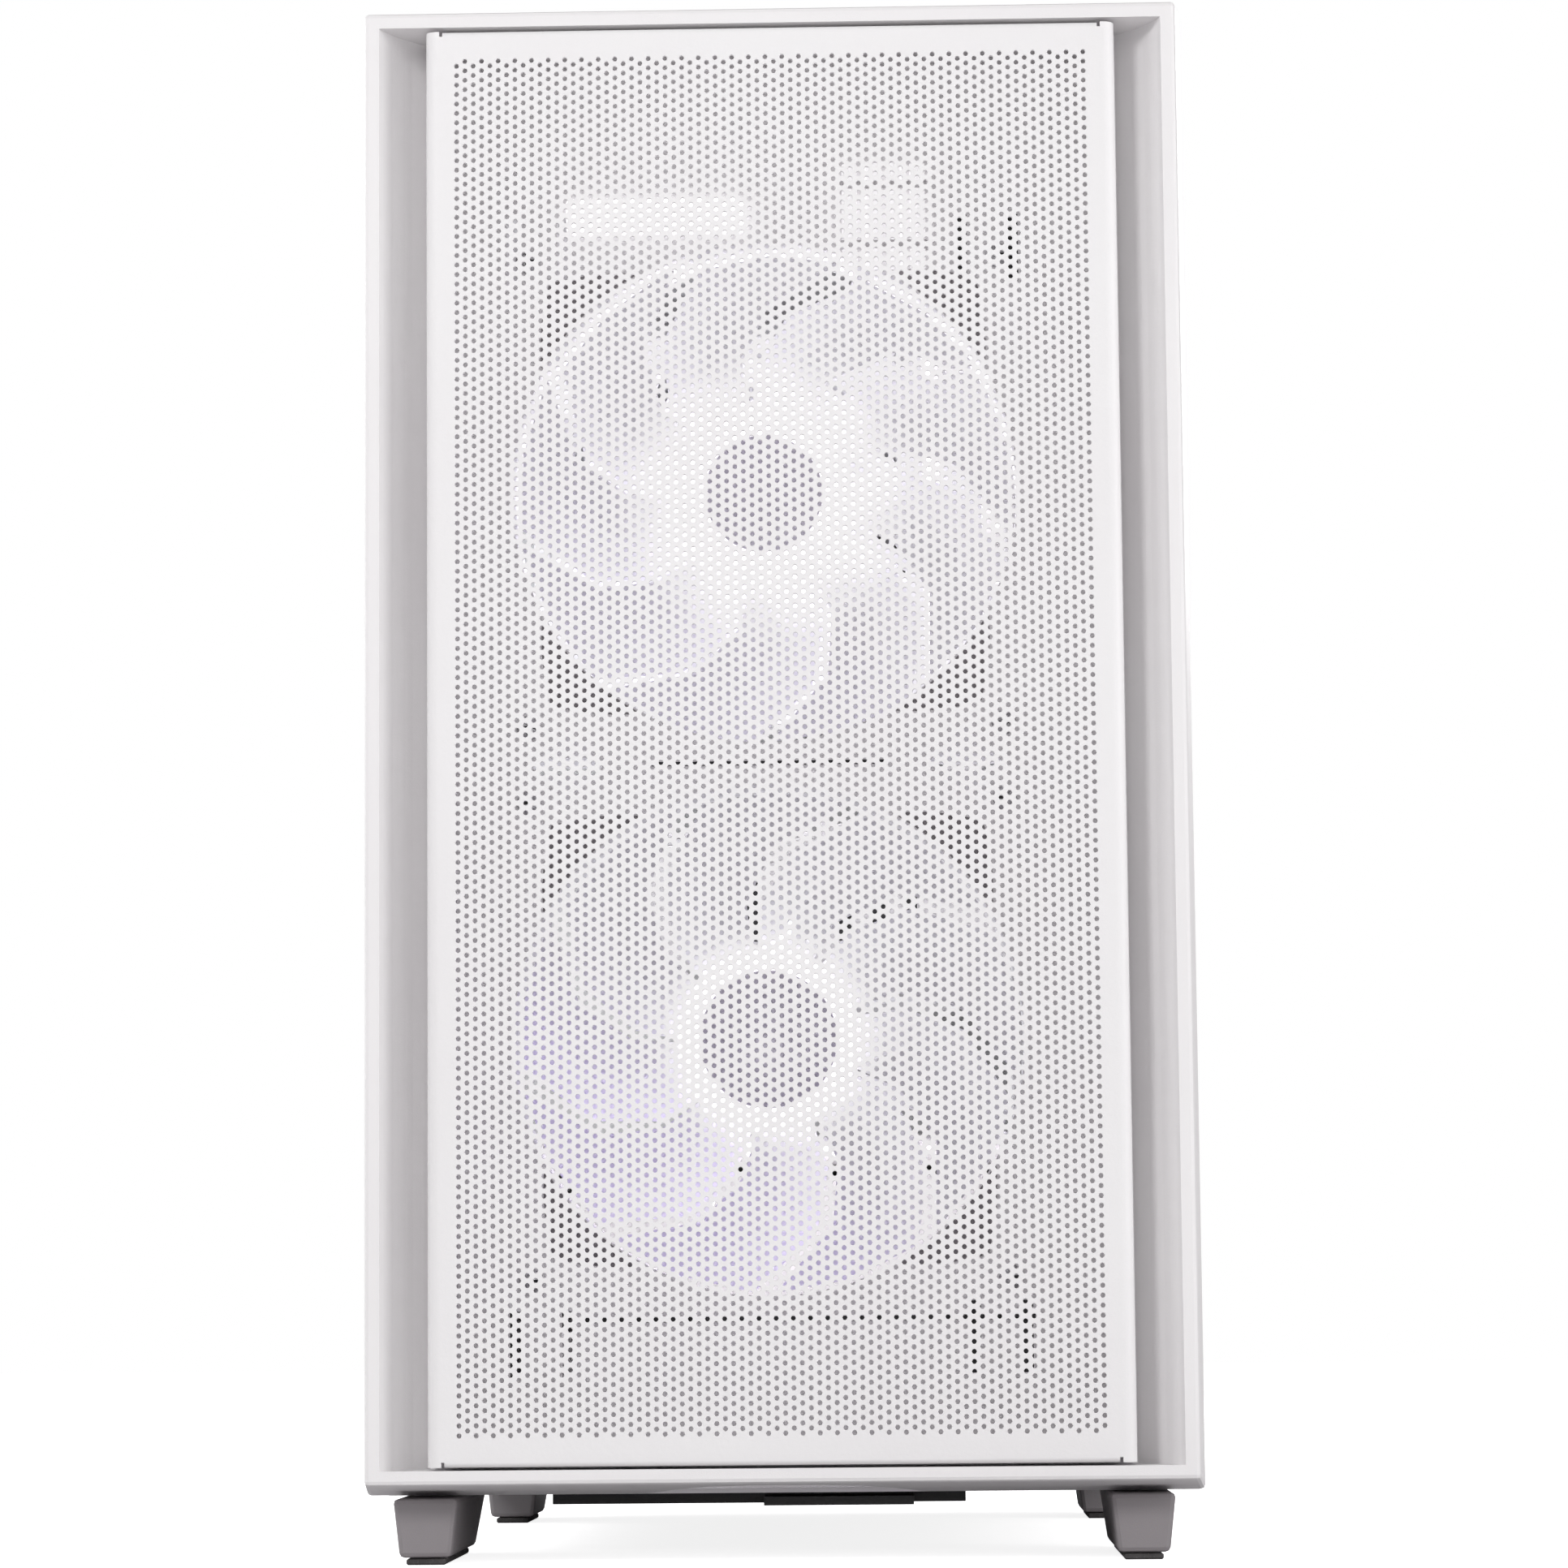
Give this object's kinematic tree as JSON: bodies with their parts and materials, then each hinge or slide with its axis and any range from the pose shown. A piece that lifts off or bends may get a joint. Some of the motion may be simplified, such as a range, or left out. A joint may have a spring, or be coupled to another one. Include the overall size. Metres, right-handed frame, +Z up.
{
  "type": "desktop computer tower",
  "caption": "White compact tower computer with a perforated front panel floating in a deep frame, a glass side, fans, boards and a power supply inside.",
  "frame": {"origin": "on the floor, under the middle of the case's box", "axes": "+Z up, the front faces -Y, +X is to the right when the front is looked at"},
  "size_m": [0.216, 0.39, 0.402],
  "materials": {
    "white_paint": "satin white powder coat",
    "white_plastic": "fine moulded texture, white",
    "fan_plastic": "translucent white moulding",
    "steel": "plain bright steel",
    "aluminium": "satin",
    "dark_plastic": "black moulded",
    "rubber": "dull black",
    "board": "solder mask, white",
    "glass": "clear tempered"
  },
  "bodies": {
    "case": {"audio_jack": "dark_plastic", "chassis_bottom_plate": "white_paint", "chassis_front_plate": "white_paint", "chassis_rear_plate": "white_paint", "chassis_top_plate": "white_paint", "drive_cage": "white_paint", "front_bezel": "white_plastic", "front_fan_lower_frame": "fan_plastic", "front_fan_upper_frame": "fan_plastic", "front_io_cable": "white_plastic", "front_io_housing": "white_plastic", "front_left_foot": "white_plastic", "front_left_foot_pad": "rubber", "front_right_foot": "white_plastic", "front_right_foot_pad": "rubber", "graphics_card_board": "board", "graphics_card_bracket": "steel", "graphics_card_cooler": "white_plastic", "hard_drive": "aluminium", "main_board_cable": "white_plastic", "memory_module_1": "white_paint", "memory_module_2": "white_paint", "motherboard": "board", "motherboard_tray": "white_paint", "power_inlet": "dark_plastic", "power_supply": "white_paint", "power_supply_shroud": "white_paint", "processor_cooler": "aluminium", "processor_fan_frame": "fan_plastic", "rear_fan_frame": "fan_plastic", "rear_io_shield": "steel", "rear_left_foot": "white_plastic", "rear_left_foot_pad": "rubber", "rear_right_foot": "white_plastic", "rear_right_foot_pad": "rubber", "slot_cover_1": "white_paint", "slot_cover_2": "white_paint", "usb_c_port": "steel", "usb_port_1": "steel", "usb_port_2": "steel"},
    "front_panel": {"front_mesh_panel": "white_paint"},
    "glass_panel": {"glass_side_panel": "glass", "glass_edge_strip": "white_paint", "glass_thumbscrew_lower": "steel", "glass_thumbscrew_upper": "steel"},
    "steel_panel": {"steel_side_panel": "white_paint", "steel_thumbscrew_lower": "steel", "steel_thumbscrew_upper": "steel"},
    "top_filter": {"top_dust_filter": "white_plastic"},
    "bottom_filter": {"bottom_dust_filter": "dark_plastic"},
    "power_button": {"power_button": "white_plastic"},
    "reset_button": {"reset_button": "white_plastic"},
    "upper_front_rotor": {"front_fan_upper_rotor": "fan_plastic"},
    "lower_front_rotor": {"front_fan_lower_rotor": "fan_plastic"},
    "rear_rotor": {"rear_fan_rotor": "fan_plastic"},
    "processor_rotor": {"processor_fan_rotor": "fan_plastic"},
    "card_rotor_1": {"graphics_card_rotor_1": "fan_plastic"},
    "card_rotor_2": {"graphics_card_rotor_2": "fan_plastic"},
    "supply_rotor": {"power_supply_rotor": "dark_plastic"},
    "rocker": {"power_rocker_switch": "dark_plastic"}
  },
  "joints": [
    {"name": "front_panel_pull", "type": "slide", "parent": "case", "child": "front_panel", "axis": [0, -1, 0], "range_m": [0, 0.12]},
    {"name": "glass_panel_pull", "type": "slide", "parent": "case", "child": "glass_panel", "axis": [-1, 0, 0], "range_m": [0, 0.12]},
    {"name": "steel_panel_pull", "type": "slide", "parent": "case", "child": "steel_panel", "axis": [1, 0, 0], "range_m": [0, 0.12]},
    {"name": "top_filter_lift", "type": "slide", "parent": "case", "child": "top_filter", "axis": [0, 0, 1], "range_m": [0, 0.08]},
    {"name": "bottom_filter_slide", "type": "slide", "parent": "case", "child": "bottom_filter", "axis": [0, -1, 0], "range_m": [0, 0.24]},
    {"name": "power_button_press", "type": "slide", "parent": "case", "child": "power_button", "axis": [0, 0, -1], "range_m": [0, 0.0012], "stiffness_N_per_m": 400},
    {"name": "reset_button_press", "type": "slide", "parent": "case", "child": "reset_button", "axis": [0, 0, -1], "range_m": [0, 0.0012], "stiffness_N_per_m": 300},
    {"name": "upper_front_fan_spin", "type": "hinge", "parent": "case", "child": "upper_front_rotor", "pos_m": [-0.0033, -0.1477, 0.2783], "axis": [0, 1, 0], "continuous": true},
    {"name": "lower_front_fan_spin", "type": "hinge", "parent": "case", "child": "lower_front_rotor", "pos_m": [-0.0033, -0.1477, 0.134], "axis": [0, 1, 0], "continuous": true},
    {"name": "rear_fan_spin", "type": "hinge", "parent": "case", "child": "rear_rotor", "pos_m": [-0.034, 0.176, 0.3298], "axis": [0, 1, 0], "continuous": true},
    {"name": "processor_fan_spin", "type": "hinge", "parent": "case", "child": "processor_rotor", "pos_m": [-0.02, 0.0589, 0.302], "axis": [0, 1, 0], "continuous": true},
    {"name": "card_fan_1_spin", "type": "hinge", "parent": "case", "child": "card_rotor_1", "pos_m": [0.0107, 0.0169, 0.1982], "axis": [0, 0, 1], "continuous": true},
    {"name": "card_fan_2_spin", "type": "hinge", "parent": "case", "child": "card_rotor_2", "pos_m": [0.0107, 0.1149, 0.1982], "axis": [0, 0, 1], "continuous": true},
    {"name": "supply_fan_spin", "type": "hinge", "parent": "case", "child": "supply_rotor", "pos_m": [0.006, 0.1145, 0.04], "axis": [0, 0, 1], "continuous": true},
    {"name": "rocker_flip", "type": "hinge", "parent": "case", "child": "rocker", "pos_m": [0.02, 0.1825, 0.07], "axis": [0, 0, 1], "range_deg": [0, 14]}
  ]
}
